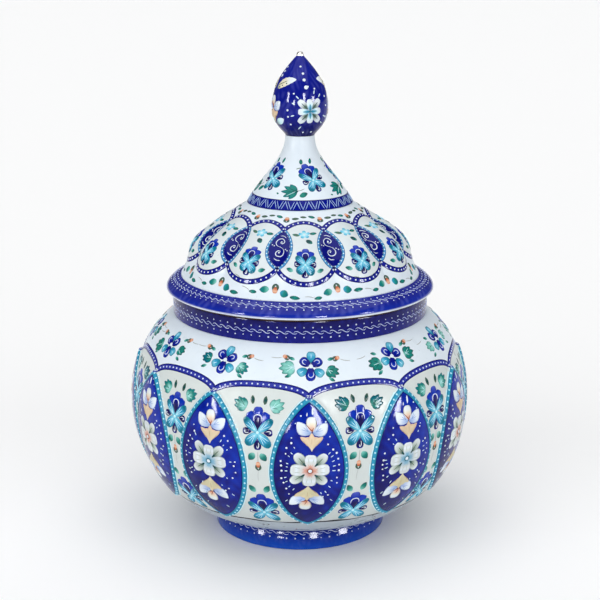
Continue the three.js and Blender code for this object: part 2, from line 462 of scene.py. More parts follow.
def finished(piece, body, finish):
    material, slot = finish
    piece.data.materials.append(material)
    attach(piece, body)


def ring_quads(rings):
    """Faces between rings of point numbers."""
    beside = np.roll(rings, -1, 1)
    return np.stack([rings[:-1], beside[:-1], beside[1:], rings[1:]], -1).reshape(-1, 4)


def white(azimuth, ring, z, r):
    return np.broadcast_to(WHITE, r.shape + (3,)).copy()


CRISP_ANGLE = 35 * DEGREE


def turned(name, node, body, finish, outline, segments, colour_at=white, press=None, closed=True,
           crisp=False):
    """A turned solid that replaces a node. An outline that isn't closed starts and ends on the axis."""
    outline = np.asarray(outline, float)
    rings = outline if closed else outline[1:-1]
    shape = (len(rings), segments)
    azimuth = np.broadcast_to(full_turn(segments), shape)
    r, z = (np.broadcast_to(rings[:, axis, None], shape) for axis in (0, 1))
    if press:
        r = r + np.where(r > STUD_HOLE + 0.1, press(azimuth, z), 0)
    points = round_axis(r, azimuth, z).reshape(-1, 3)
    ring = np.broadcast_to(np.arange(len(rings))[:, None], shape)
    colours = colour_at(azimuth, ring, z, r).reshape(-1, 3)
    index = np.arange(len(points)).reshape(shape)
    if closed:
        polygons = [ring_quads(np.vstack([index, index[:1]]))]
    else:
        bottom, top = np.full(segments, len(points)), np.full(segments, len(points) + 1)
        lower = np.stack([bottom, np.roll(index[0], -1), index[0]], -1)
        upper = np.stack([index[-1], np.roll(index[-1], -1), top], -1)
        polygons = [ring_quads(index), lower, upper]
        points = np.vstack([points, [(0, 0, outline[0, 1]), (0, 0, outline[-1, 1])]])
        colours = np.vstack([colours, colours[:1], colours[-1:]])
    piece = mesh_object(name, points, polygons, colours)
    if crisp:
        piece.data.set_sharp_from_angle(angle=CRISP_ANGLE)
    finished(piece, body, finish)
    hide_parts(node)


def mottle(azimuth, z):
    """Uneven enamel, from -1 to 1."""
    return np.sin(61 * azimuth + 2.2 * np.sin(0.31 * z)) * np.sin(0.83 * z + 1.7 * np.sin(37 * azimuth))


def mottled(shades, shade, share, azimuth, z):
    return mix(shades, shade, share * np.clip(mottle(azimuth, z), 0, 1))


# The bowl's ground: white, ivory panels under the arches, and the blue almonds, with painted shade towards
# the foot
ARCH_TOP = 86.5
ARCH_SPRING = 81.3
ARCH_WAY = BOWL.along(ARCH_SPRING)
ARCH_RISE = BOWL.along(ARCH_TOP) - ARCH_WAY
BASE_LINE = 23.4
# Painted shade: how much the ground is darkened towards the foot, from which height and over what fade
PAINTED_SHADE = 0.16
PAINTED_SHADE_TOP = 40.0
PAINTED_SHADE_FADE = 22.0
BOWL_OUTER = 124
FINE_SEGMENTS = 576
BAND_SEGMENTS = 480
EDGE_SEGMENTS = 300
NUT_SEGMENTS = 96


def panel_place(azimuth):
    """How far across its panel an azimuth is, from -1 to 1."""
    order = np.sort(np.mod(CENTRES, TURN))
    turned_to = np.mod(azimuth, TURN)
    after = np.searchsorted(order, turned_to) % ALMONDS
    start = order[after - 1]
    return 2 * np.mod(turned_to - start, TURN) / np.mod(order[after] - start, TURN) - 1


def arch_way(place):
    return ARCH_WAY + ARCH_RISE * np.sqrt(np.clip(1 - np.abs(place) ** 2.2, 0, 1))


def bowl_colour(azimuth, ring, z, r):
    colours = white(azimuth, ring, z, r)
    colours[(BOWL.along(z) < arch_way(panel_place(azimuth))) & (z > BASE_LINE)] = CREAM
    # Below the base line the ground is a greyer white, partly painted shade under the belly
    colours[z < BASE_LINE] = GREYISH
    # Painted shade: the white and ivory ground darkens towards the foot
    colours = colours * (1 - PAINTED_SHADE * np.clip((PAINTED_SHADE_TOP - z) / PAINTED_SHADE_FADE, 0, 1))[..., None]
    share, turn = almond_share(z), nearest_almond(azimuth)
    width = almond_width(share)
    inside = ((width - np.abs(turn)) * r > 1.0) & (share > 0.01) & (share < 0.99)
    across = np.clip(turn / np.maximum(width, 1e-6), -1, 1)
    blotch = mottle(azimuth, z)
    # The almonds' blue runs lighter towards the head and the right side and darker towards the tail, the left
    # side and both edges: partly pigment, partly painted light and shade. The mottle is uneven enamel.
    light = 0.62 - 0.75 * share + 0.28 * across + 0.32 * blotch
    dark = 1.25 * (share - 0.4) - 0.4 * across + 0.25 * across ** 4 - 0.2 * blotch
    blues = mix(mix(NAVY, COBALT, np.minimum(light, 0.9)), DEEP, np.minimum(dark, 0.9))
    colours[inside] = blues[inside]
    colours[ring > BOWL_OUTER + 1] = WHITE
    return colours


inside = BOWL.inside(SHEET, 26)
inside[0] = (NECK_INNER, NECK_BASE)
floor_radius, floor_height = inside[-1]
bowl_outline = np.vstack([[(0, FOOT_TOP), (FOOT_RADIUS * 0.6, FOOT_TOP)], resampled(BOWL.profile, BOWL_OUTER),
                          inside, [(floor_radius * 0.5, floor_height), (0, floor_height)]])
turned("bowl_body", "bowl_shell", "bowl", GROUND, bowl_outline, FINE_SEGMENTS, bowl_colour, boss,
       closed=False)


def foot_colour(azimuth, ring, z, r):
    # Darker at the top, under the bowl, as painted shade, and brighter cobalt with a turquoise tint towards
    # the bottom as painted light. The mottle is uneven enamel.
    low = np.clip(1 - z / FOOT_TOP, 0, 1)
    shades = mix(mix(DEEP, COBALT, 0.15 + low), TURQUOISE, 0.14 * low ** 2)
    return mottled(shades, LILAC, 0.1, azimuth, z)


foot_outline = rounded([(FOOT_INNER, 0), *FOOT.profile[::2], (FOOT_INNER, FOOT_TOP)], 0.3, 2)
turned("foot_band", "foot_ring", "bowl", BLUE, foot_outline, 360, foot_colour, crisp=True)


def neck_colour(azimuth, ring, z, r):
    share = np.clip((z - NECK_BASE) / (COLLAR_TOP - NECK_BASE), 0, 1)
    # Darker towards the top: painted shadow under the lid's lip. The mottle is uneven enamel.
    shades = mottled(mix(NAVY, DEEP, 0.35 + 0.6 * share ** 2), VIOLET, 0.4, azimuth, z)
    shades[r < NECK_RADIUS - SHEET * 0.6] = WHITE
    return shades


neck_side = [(NECK_RADIUS, height) for height in np.linspace(NECK_BASE, COLLAR_TOP, 14)]
neck_outline = rounded([(NECK_INNER, NECK_BASE), *neck_side, (NECK_INNER, COLLAR_TOP)], 0.25, 2)
turned("neck_band", "neck_collar", "bowl", BLUE, neck_outline, BAND_SEGMENTS, neck_colour, crisp=True)

# The mouth ring's near-black copper is partly painted shadow under the lid's lip
mouth_outline = rounded([(NECK_INNER, COLLAR_TOP), (MOUTH_RADIUS, COLLAR_TOP), (MOUTH_RADIUS, MOUTH_TOP),
                         (NECK_INNER, MOUTH_TOP)], 0.5)
turned("mouth_edge", "mouth_ring", "bowl", COPPER_WITH_PAINTED_SHADE, mouth_outline, EDGE_SEGMENTS)

# The lid's turned forms
ring_outline = rounded([(RING_INNER, RING_LOW), (RING_RADIUS - RING_TAPER, RING_LOW),
                        (RING_RADIUS, RING_LOW + RING_TAPER_HEIGHT), (RING_RADIUS, MOUTH_TOP),
                        (RING_INNER, MOUTH_TOP)], 0.3)
turned("lid_seat_ring", "lid_locating_ring", "lid_seat", COPPER_WITH_PAINTED_SHADE, ring_outline, EDGE_SEGMENTS)

LIP_WHITE = LID_SEAT + 0.85
LIP_EDGE = NECK_RADIUS + 0.6
RIM_UNDERSIDE = NECK_RADIUS - 4.2


def rim_colour(azimuth, ring, z, r):
    share = np.clip((z - LID_SEAT) / (RIM_TOP - LID_SEAT), 0, 1)
    shades = mix(mix(COBALT, NAVY, share * 1.6), mix(VIOLET, LILAC, 0.12), 0.5 * share)
    shades = mottled(shades, LILAC, 0.22, azimuth, z)
    shades[(z < LIP_WHITE) & (r > LIP_EDGE)] = PURE
    shades[r < RIM_UNDERSIDE] = WHITE
    return shades


lip = [(RING_INNER, LID_SEAT), (LIP_RADIUS - 0.45, LID_SEAT), (LIP_RADIUS - 0.1, LID_SEAT + 0.2),
       (LIP_RADIUS, LID_SEAT + 0.6)]
rim_outline = np.vstack([lip, resampled(RIM.profile, 34), [(RIM_TOP_RADIUS - SHEET, RIM_TOP)]])
turned("lid_rim_band", "lid_rim", "lid", BLUE, rim_outline, BAND_SEGMENTS, rim_colour, crisp=True)

# Scalloped circles on the dome, with a lens between each two
CIRCLE_LOW = DOME.along(123.8)
CIRCLE_HIGH = DOME.along(145.4)
CIRCLE_WAY = (CIRCLE_LOW + CIRCLE_HIGH) / 2
CIRCLE_RISE = (CIRCLE_HIGH - CIRCLE_LOW) / 2
CIRCLE_HALF = TURN / LOBES / 2
LENS_REACH = 0.62
LENS_HALF = 6.4 * DEGREE
DOME_OUTER = 84


def scallop(place):
    """Height of a circle's edge over its middle, as a share, from its left end (-1) to its right end (1)."""
    return LENS_REACH + (1 - LENS_REACH) * np.clip(1 - place * place, 0, 1) ** 0.7


def lens_width(up):
    """Half the angle of a lens at a share of the circle's height."""
    return LENS_HALF * np.clip(1 - (up / LENS_REACH) ** 2, 0, 1) ** 0.72


def dome_colour(azimuth, ring, z, r):
    colours = white(azimuth, ring, z, r)
    turns = turn_between(azimuth, LOBE_START)
    aside = turns - 2 * CIRCLE_HALF * np.round(turns / (2 * CIRCLE_HALF))
    up = (DOME.along(z) - CIRCLE_WAY) / CIRCLE_RISE
    colours[np.abs(up) < scallop(aside / CIRCLE_HALF)] = mix(WHITE, CREAM, 0.55)
    colours[CIRCLE_HALF - np.abs(aside) < lens_width(up)] = mix(NAVY, DEEP, 0.35)
    colours[ring >= DOME_OUTER] = WHITE
    return colours


inside = DOME.inside(SHEET, 20)
inside[0] = (CROWN_RADIUS, CROWN_TOP - SHEET)
inside[-1] = (RIM_TOP_RADIUS - SHEET, RIM_TOP)
dome_outline = np.vstack([resampled(DOME.profile, DOME_OUTER),
                          [(STUD_HOLE, CROWN_TOP), (STUD_HOLE, CROWN_TOP - SHEET)], inside])
turned("lid_dome_body", "lid_dome", "lid", GROUND, dome_outline, FINE_SEGMENTS, dome_colour, lobes)

ZIGZAG_LOW = 0.25
ZIGZAG_HIGH = 4.7
SPIRE_OUTER = 120


def spire_colour(azimuth, ring, z, r):
    way = SPIRE.along(z)
    colours = white(azimuth, ring, z, r)
    colours[(way > ZIGZAG_LOW) & (way < ZIGZAG_HIGH) & (ring < SPIRE_OUTER)] = NAVY
    return colours


inside = SPIRE.inside(SPIRE_WALL, 24)
inside = inside[inside[:, 1] < SPIRE_CAP]
inside[-1] = (SPIRE_FOOT - SPIRE_WALL, CROWN_TOP)
cap = [(STUD_HOLE, SPIRE_TOP), (STUD_HOLE, SPIRE_CAP), (SPIRE_TOP_RADIUS - SPIRE_WALL, SPIRE_CAP)]
spire_outline = np.vstack([resampled(SPIRE.profile, SPIRE_OUTER), cap, inside])
turned("lid_spire_body", "lid_spire", "lid", GROUND, spire_outline, 288, spire_colour)


def bulb_colour(azimuth, ring, z, r):
    share = np.clip((z - SPIRE_TOP) / (BULB_TOP - SPIRE_TOP), 0, 1)
    # Darker at the bottom as painted shade and violet towards the top as painted reflection. The mottle is
    # uneven enamel.
    shades = mix(mix(DEEP, NAVY, share * 3.5), VIOLET, 0.45 * np.clip(share * 1.5 - 0.5, 0, 1))
    return mottled(shades, LILAC, 0.14, azimuth / 4, z)


BULB_OUTER = 90
inside = BULB.inside(BULB_WALL, 40)
inside = inside[(inside[:, 1] > BULB_FLOOR) & (inside[:, 0] > TIP_RADIUS)]
floor_edge = [(inside[-1, 0], BULB_FLOOR), (STUD_HOLE, BULB_FLOOR), (STUD_HOLE, SPIRE_TOP)]
bulb_outline = np.vstack([[(0, inside[0, 1])], inside, floor_edge, resampled(BULB.profile, BULB_OUTER),
                          [(0, BULB_TOP)]])
turned("finial_bulb_body", "finial_bulb", "lid", BLUE, bulb_outline, 192, bulb_colour, closed=False)

TIP_BASE = BULB_TOP - 0.3
TIP_BULGE = TIP_RADIUS * 1.02
tip_outline = [(0, TIP_BASE), (TIP_RADIUS * 0.9, TIP_BASE), (TIP_BULGE, BULB_TOP)]
for turn in np.linspace(0, math.pi / 2, 12)[1:-1]:
    height = BULB_TOP + (TIP_TOP - BULB_TOP) * math.sin(turn)
    tip_outline.append((TIP_BULGE * math.cos(turn) ** 0.6, height))
turned("finial_tip_bead", "finial_tip", "lid", PEWTER, tip_outline + [(0, TIP_TOP)], 64, closed=False)

# Stud with a thread, washer and nut
PITCH = 0.7
THREAD_DEPTH = 0.2
THREAD_END = STUD_RADIUS - 0.5
thread = [(0, STUD_LOW), (THREAD_END, STUD_LOW)]
for step in range(int((STUD_HIGH - STUD_LOW - 0.8) / PITCH)):
    start = STUD_LOW + 0.4 + step * PITCH
    thread += [(STUD_RADIUS - THREAD_DEPTH, start), (STUD_RADIUS, start + PITCH * 0.4),
               (STUD_RADIUS, start + PITCH * 0.6)]
thread += [(THREAD_END, STUD_HIGH), (0, STUD_HIGH)]
turned("finial_stud_thread", "finial_stud", "lid", BRASS, thread, 40, closed=False)

washer_outline = rounded([(STUD_HOLE, WASHER_LOW), (WASHER_RADIUS, WASHER_LOW), (WASHER_RADIUS, WASHER_HIGH),
                          (STUD_HOLE, WASHER_HIGH)], 0.25)
turned("stud_washer_ring", "stud_washer", "lid", BRASS, washer_outline, NUT_SEGMENTS, crisp=True)


def hexagon(azimuth, z):
    """How far a circle through the nut's corners is cut back to its flats."""
    side = TURN / 6
    off = np.mod(azimuth - math.pi / 2 + side / 2, side) - side / 2
    flat = NUT_CORNER * math.cos(side / 2)
    return flat / np.cos(side / 2 - np.abs(off)) - NUT_CORNER


NUT_FACE = NUT_CORNER - 0.7
CHAMFER = 0.45
nut_outline = [(STUD_HOLE, NUT_LOW), (NUT_FACE, NUT_LOW), (NUT_CORNER, NUT_LOW + CHAMFER),
               (NUT_CORNER, NUT_HIGH - CHAMFER), (NUT_FACE, NUT_HIGH), (STUD_HOLE, NUT_HIGH)]
turned("stud_hex_nut", "stud_nut", "lid", BRASS, nut_outline, NUT_SEGMENTS, press=hexagon, crisp=True)

# Cross sections of the brush work: places across it, from edge to edge, and their lift
ACROSS = np.array([-1, -0.72, -0.3, 0.3, 0.72, 1])
ACROSS_LIFT = np.array([-0.25, 0.72, 1, 1, 0.72, -0.25])
BEAD_RINGS = np.array([1, 0.8, 0.45])
BEAD_LIFT = np.array([-0.25, 0.6, 0.92])
BEAD_CORNERS = 10
SUNK = -0.04
PETAL_RUN = eased(0.07, 0.93, 9)

# Outlines of petals, by how fast they open and close
LEAF = (0.75, 0.85)
DROP = (0.9, 0.45)
OVAL = (0.55, 0.45)
BLUNT = (0.5, 0.3)
BROAD = (0.62, 0.8)
ROUND = (0.5, 0.36)
TUFT = (0.6, 0.4)
CROSS = (0.6, 0.46)
SPLIT = (0.66, 0.5)
FULL = (0.42, 0.28)
WING = (0.7, 0.8)
FLARED = (2.2, 0.32)
SPIKE = (1.7, 0.95)


class Ornament:
    """Brush work in raised enamel, gathered as closed cushions on one surface."""

    def __init__(self, name, surface, slot, relief=1.0):
        self.name, self.surface, self.slot, self.relief = name, surface, slot, relief
        self.places, self.colours, self.polygons = [], [], []
        self.count = 0

    def keep(self, azimuth, way, lift, colours):
        self.places.append(np.stack([np.ravel(azimuth), np.ravel(way), np.ravel(lift)]))
        self.colours.append(np.reshape(colours, (-1, 3)))
        self.count += np.size(azimuth)

    def cushion(self, azimuth, way, lift, colours, ring=False):
        """A closed strip whose rows run along it and whose columns run across."""
        index = self.count + np.arange(azimuth.size).reshape(azimuth.shape)
        here, after = (index, np.roll(index, -1, 0)) if ring else (index[:-1], index[1:])
        top = np.stack([here[:, :-1], here[:, 1:], after[:, 1:], after[:, :-1]], -1)
        under = np.stack([here[:, 0], after[:, 0], after[:, -1], here[:, -1]], -1)
        self.polygons += [top.reshape(-1, 4), under]
        if not ring:
            self.polygons += [index[:1, ::-1], index[-1:]]
        lift[:, [0, -1]] = SUNK
        self.keep(azimuth, way, lift, colours)

    def band(self, azimuth, way, width, shade, rise=0.1, offset=0.0, ring=False, edge=None):
        """A painted line along a path on the surface."""
        r = self.surface.radius(way)
        if ring:
            step_x = turn_between(np.roll(azimuth, -1), np.roll(azimuth, 1)) * r
            step_y = np.roll(way, -1) - np.roll(way, 1)
        else:
            step_x, step_y = np.gradient(azimuth) * r, np.gradient(way)
        length = np.maximum(np.hypot(step_x, step_y), 1e-9)
        side_x, side_y = (step_y / length)[:, None], (-step_x / length)[:, None]
        across = ACROSS * np.reshape(width, (-1, 1)) / 2 + offset
        lift = np.tile(rise * ACROSS_LIFT, (len(azimuth), 1))
        colours = np.broadcast_to(shade, lift.shape + (3,)).copy()
        if edge is not None:
            colours[:, [0, 1, -2, -1]] = edge
        azimuths = azimuth[:, None] + side_x * across / r[:, None]
        self.cushion(azimuths, way[:, None] + side_y * across, lift, colours, ring)

    def beads(self, azimuth, way, radius, shade, layer=0.0, rise=0.16):
        """Round dots at places on the surface."""
        azimuth, way = np.atleast_1d(azimuth), np.atleast_1d(way)
        count = len(azimuth)
        radius = np.broadcast_to(radius, count)[:, None]
        turns = full_turn(BEAD_CORNERS)
        x = np.append(np.outer(BEAD_RINGS, np.cos(turns)), 0) * radius
        y = np.append(np.outer(BEAD_RINGS, np.sin(turns)), 0) * radius
        lift = layer + rise * np.append(np.repeat(BEAD_LIFT, BEAD_CORNERS), 1)
        lift[:BEAD_CORNERS] = SUNK
        each = len(lift)
        index = self.count + np.arange(count)[:, None] * each
        rings = np.arange(each - 1).reshape(len(BEAD_RINGS), BEAD_CORNERS)
        caps = np.stack([rings[-1], np.roll(rings[-1], -1), np.full(BEAD_CORNERS, each - 1)], -1)
        for faces in (ring_quads(rings), caps):
            self.polygons.append((index[:, :, None] + faces).reshape(-1, faces.shape[1]))
        self.polygons.append(index + rings[0][::-1])
        ways = way[:, None] + y
        azimuths = azimuth[:, None] + x / self.surface.radius(ways)
        shades = np.repeat(np.broadcast_to(shade, (count, 3)), each, 0)
        self.keep(azimuths, ways, np.broadcast_to(lift, x.shape), shades)

    def piece(self):
        """Makes one piece of it, which rides with the body of its surface."""
        azimuth, way, lift = np.concatenate(self.places, 1)
        points = self.surface.place(azimuth, way, lift * self.relief)
        piece = mesh_object(self.name, points, self.polygons, np.concatenate(self.colours))
        finished(piece, self.surface.body, (brush, self.slot))


def left_of(vector):
    return np.array([-vector[1], vector[0]])


class Board:
    """A flat drawing board on an ornament's surface, with x to the right and y up the profile."""

    def __init__(self, paint, azimuth, way, turn=0.0, scale=1.0):
        self.paint, self.azimuth, self.way, self.scale = paint, azimuth, way, scale
        self.cos, self.sin = math.cos(turn) * scale, math.sin(turn) * scale

    def spread(self, x, y):
        way = self.way + x * self.sin + y * self.cos
        across = x * self.cos - y * self.sin
        return self.azimuth + across / self.paint.surface.radius(way), way

    def petal(self, base, tip, width, shades, shape=OVAL, layer=0.0, rise=0.16, bend=0.0, edge=None,
              outline=None):
        """A petal or leaf whose shades run from base to tip, tinted towards both edges and outlined."""
        base, tip = np.array((base, tip), float)
        ahead = tip - base
        length = np.hypot(*ahead)
        side = -left_of(ahead) / length
        t = PETAL_RUN[:, None]
        aside = leaf_width(width / 2, shape, t) * ACROSS + bend * length * np.sin(math.pi * t)
        x, y = (base[axis] + ahead[axis] * t + side[axis] * aside for axis in (0, 1))
        lift = layer + rise * ACROSS_LIFT * np.sqrt(np.clip(4 * t * (1 - t), 0.05, 1))
        lift[[0, -1]] = layer - 0.25 * rise
        stops = np.linspace(0, 1, len(shades))
        along = np.stack([np.interp(PETAL_RUN, stops, band) for band in np.transpose(shades)], -1)
        colours = np.repeat(along[:, None, :], len(ACROSS), 1)
        if edge is not None:
            colours = mix(colours, edge, np.abs(ACROSS) ** 3)
        if outline is not None:
            colours[:, [0, -1]] = outline
        self.paint.cushion(*self.spread(x, y), lift, colours * dice.uniform(0.93, 1.05))

    def stroke(self, path, width, shade, layer=0.0, rise=0.1, thin=0.25):
        """A brush stroke that thins out towards its ends."""
        ahead = np.gradient(path, axis=0)
        ahead /= np.maximum(np.hypot(ahead[:, 0], ahead[:, 1]), 1e-9)[:, None]
        t = np.linspace(0, 1, len(path))
        swell = thin + (1 - thin) * np.clip(np.sin(math.pi * t) * 1.6, 0, 1)
        half = (width / 2 * swell)[:, None] * ACROSS
        x = path[:, :1] + ahead[:, 1:] * half
        y = path[:, 1:] - ahead[:, :1] * half
        lift = layer + rise * ACROSS_LIFT * (0.4 + 0.6 * swell)[:, None]
        self.paint.cushion(*self.spread(x, y), lift, np.broadcast_to(shade, x.shape + (3,)))

    def dots(self, places, radius, shade, layer=0.0, rise=0.16):
        azimuth, way = self.spread(*np.reshape(places, (-1, 2)).T)
        self.paint.beads(azimuth, way, radius * self.scale, shade, layer, rise)


# Motifs
LEAF_GREENS = ((MINT, GREEN, GREEN, FOREST), (MINT, MINT, GREEN, TEAL), (GREEN, GREEN, TEAL, FOREST),
               (PALE, MINT, MINT, GREEN))
MINT_LEAF = (MINT, GREEN, FOREST)
OLIVE_LEAF = (FOREST, OLIVE, FOREST)
SIDES = (-1, 1)


def ray(turn, wide=1.0, tall=1.0):
    return np.array([wide * math.cos(turn), tall * math.sin(turn)])


def turned_by(vector, turn):
    return vector * math.cos(turn) + left_of(vector) * math.sin(turn)


def hair(board, start, end, width, shade, layer=0.1, sag=0.0):
    """A thin stroke, bowed to its right."""
    start, end = np.array((start, end), float)
    middle = (start + end) / 2 - left_of(end - start) * sag
    board.stroke(smooth([start, middle, end], 8), width, shade, layer, 0.08)


def toothed_leaf(board, base, tip, width, shades=None):
    """A broad leaf of five pointed lobes with light veins."""
    base, tip = np.array((base, tip), float)
    ahead = tip - base
    shades = shades or dice.choice(LEAF_GREENS)
    rim = mix(shades[-1], FOREST, 0.5)
    for turn, share, wide in ((-0.72, 0.68, 0.58), (0.72, 0.68, 0.58), (-0.36, 0.9, 0.54), (0.36, 0.9, 0.54)):
        board.petal(base + ahead * 0.08, base + turned_by(ahead, turn) * share, width * wide, shades, BROAD,
                    rise=0.13, edge=rim)
    board.petal(base, tip, width * 0.55, shades, BROAD, layer=0.02, rise=0.14, edge=rim)
    for turn in (-0.4, 0.05, 0.4):
        hair(board, base + ahead * 0.15, base + turned_by(ahead, turn) * dice.uniform(0.45, 0.7), 0.24,
             PALE if dice.random() < 0.6 else FOREST, 0.15)


def leaf(board, base, tip, width, shades=(FOREST, GREEN, FOREST)):
    board.petal(base, tip, width, shades, LEAF, rise=0.12)


def bud(board, base, tip, width):
    """An orange bud in two dark sepals."""
    base, tip = np.array((base, tip), float)
    side = -left_of(tip - base)
    side = side / np.hypot(*side) * width
    middle = base * 0.35 + tip * 0.65
    board.petal(base * 0.7 + tip * 0.3, tip, width * 0.95, (BROWN, ORANGE, PEACH, ORANGE), rise=0.14)
    for way in SIDES:
        board.petal(base, middle + side * way * 0.42, width * 0.46, OLIVE_LEAF, LEAF, layer=0.05, rise=0.14,
                    bend=0.14 * way)


def sprig(board, *rows, side=1):
    """Motifs in rows: each with its start and end as x, y, x, y, its width, and what else it takes."""
    for motif, x, y, end_x, end_y, *more in rows:
        motif(board, (side * x, y), (side * end_x, end_y), *more)


def curl(board, base, ahead, aside, points, width, shade, layer, rise):
    """A light curl through points, each given by how far ahead and aside it lies."""
    path = [base + ahead * forward + aside * sideways for forward, sideways in points]
    board.stroke(smooth(path, 14), width, shade, layer, rise)


DROP_CURL = ((0.3, 0.5), (0.52, 0.95), (0.8, 0.5), (0.8, -0.3), (0.58, -0.35))
PETAL_CURL = ((2.2, 0.9), (3.5, 1.25), (4.5, 0.3), (4.0, -0.9), (2.9, -0.7))


def curled(board, base, tip, width):
    """A navy drop, round at its tip, with a light curl in it."""
    base, tip = np.array((base, tip), float)
    board.petal(base, tip, width, (NAVY, DEEP, DEEP, VIOLET), DROP, edge=DEEP)
    ahead = tip - base
    aside = left_of(ahead) * width / np.hypot(*ahead) ** 2
    curl(board, base, ahead, aside, DROP_CURL, 0.46, PURE, 0.12, 0.09)


CROWN_ARCH = ((-1.9, 5.1), (-1.8, 6.8), (-0.9, 7.9), (0.9, 7.9), (1.8, 6.8), (1.9, 5.1))


def blue_flower(board, foot=True, drop=3.5, reach=1.0, full=1.0):
    """A navy crown of three lobes and round drops between four turquoise petals set as a cross."""
    top = mix(COBALT, LILAC, dice.uniform(0.1, 0.7))
    for side in SIDES:
        board.petal((side * 0.2, 1.6), (side * 4.3, 9.0), 4.9, (NAVY, NAVY, COBALT, COBALT), BLUNT, edge=NAVY)
    board.petal((0, 0.6), (0, 8.4), 7.0, (DEEP, DEEP, NAVY, NAVY), DROP, layer=0.02)
    board.petal((0, 2.6), (0, 11.5), 5.0, (DEEP, NAVY, COBALT, top), BLUNT, layer=0.03, edge=NAVY)
    sprig(board, (curled, -2.6, 0.2, -6.8, 0.4, drop), (curled, 2.6, 0.0, 6.8, 0.2, drop))
    if foot:
        curled(board, (0.1, -2.8), (0.1, -8.1), drop * 1.08)
    for x, y, width in ((-6.2, 6.3, 4.3), (6.6, 6.1, 4.3), (-5.2, -6.0, 4.8), (5.7, -6.5, 4.8)):
        tip = np.array([x, y]) * reach
        board.petal(tip * 0.02, tip, width * full, (AQUA, AQUA, TURQUOISE, TURQUOISE, TEAL, TEAL), CROSS,
                    layer=0.08, rise=0.18, edge=mix(TURQUOISE, TEAL, 0.45))
        for aside in (-0.17, 0, 0.17):
            hair(board, tip * 0.15, tip * 0.7 + left_of(tip) * aside, 0.28, PALE, 0.24)
    board.petal((0, 2.4), (0, 7.7), 3.4, (DEEP, DEEP, NAVY), DROP, layer=0.16, rise=0.14)
    board.stroke(smooth(CROWN_ARCH, 18), 0.46, PURE, 0.2)
    board.dots((0, 0), 0.7, PALE, 0.22)


def six_flower(board):
    """Three navy and three turquoise petals in turn, each with a light curl or hair."""
    for index in range(6):
        ahead = ray(TURN * (index / 6 + 0.25), 0.88, 1.12)
        if index % 2:
            board.petal(ahead * 0.4, ahead * 5.7, 4.5, (NAVY, NAVY, COBALT, VIOLET), ROUND, layer=0.04,
                        edge=DEEP)
            curl(board, 0, ahead, left_of(ahead), PETAL_CURL, 0.44, mix(PURE, LILAC, 0.25), 0.19, 0.1)
        else:
            end = 7.0 if index else 6.2
            shades = (TEAL, mix(TURQUOISE, TEAL, 0.4), TURQUOISE, AQUA, TEAL)
            board.petal(ahead * (end - 5.0), ahead * end, 4.1, shades, TUFT, edge=mix(TURQUOISE, TEAL, 0.6))
            hair(board, ahead * (end - 3.0), ahead * (end - 1.2), 0.34, PALE, 0.14)
    board.dots((0, 0), 1.0, PURE, 0.14)


def white_flower(board, warm):
    """Four full petals and four leaf-like ones between them."""
    for x, y, width in ((-6.1, 7.8, 5.0), (6.6, 7.3, 4.8), (-7.9, -5.6, 4.9), (6.7, -6.3, 4.9)):
        tip = np.array([x, y])
        board.petal(tip * 0.25, tip, width, (FOREST, OLIVE, SAGE, IVORY, PURE), SPLIT, rise=0.18, edge=PURE,
                    outline=OLIVE)
        hair(board, tip * 0.42, tip * 0.76, 0.4, OLIVE, 0.17)
        hair(board, tip * 0.27, tip * 0.47, 0.9, FOREST, 0.26)
    heart, blush, spread = (BROWN, ORANGE, 0.88) if warm else (TEAL, TURQUOISE, 0.6)
    tinted = mix(blush, IVORY, 0.25)
    shades = (heart, tinted, mix(blush, IVORY, spread), IVORY, PURE, IVORY, PURE)
    for x, y, width in ((-8.0, 0.4, 6.3), (7.9, 0.5, 6.0), (0.3, 7.2, 5.9), (-0.3, -7.3, 6.5)):
        tip = np.array([x, y])
        board.petal(tip * 0.05, tip, width, shades, FULL, layer=0.06, rise=0.22, edge=PURE, outline=OLIVE)
        side = left_of(tip) * 0.13
        for aside in (-1, 0, 1):
            hair(board, tip * 0.18, tip * 0.42 + side * aside, 0.26, tinted, 0.3)
        for aside in (-0.9, 0.7):
            hair(board, tip * 0.5 + side * aside, tip * 0.78 + side * aside * 1.5, 0.22, SAGE, 0.28)
    board.dots((0, 0), 1.4, heart, 0.24)
    board.dots((0, 0), 0.98, PURE, 0.34)


BLOSSOM_UP = {"points": ((-4.7, 6.4), (-0.1, 8.0), (4.5, 6.2)), "droop": 0.12,
              "shades": (SAND, OCHRE, OCHRE, mix(OCHRE, PEACH, 0.6)),
              "sides": (((-0.2, 7.6), (-6.0, 12.4)), ((0.3, 7.6), (6.3, 11.6))),
              "end": ((-0.2, 8.4), (-0.3, 14.6), 4.5),
              "lines": (((-2.2, 11.2), (0.5, 8.2)), ((0.6, 10.2), (-0.2, 8.0)))}
BLOSSOM_DOWN = {"points": ((-5.6, -5.8), (-0.4, -8.2), (4.6, -5.9)), "droop": -0.12,
                "shades": (SAND, KHAKI, KHAKI, OCHRE),
                "sides": (((-1.0, -6.6), (-7.4, -10.6)), ((0.7, -6.6), (6.7, -10.4))),
                "end": ((-0.6, -8.0), (-1.2, -13.4), 5.4),
                "lines": (((-3.0, -8.8), (0.2, -7.8)), ((-1.2, -10.4), (-0.2, -8.2)))}
BLOSSOM_SIDE = (SLATE, mix(SLATE, MIST, 0.7), mix(MIST, PURE, 0.75), PURE, PURE)
BLOSSOM_END = (ORANGE, mix(ORANGE, SAND, 0.5), SAND, PURE, IVORY)


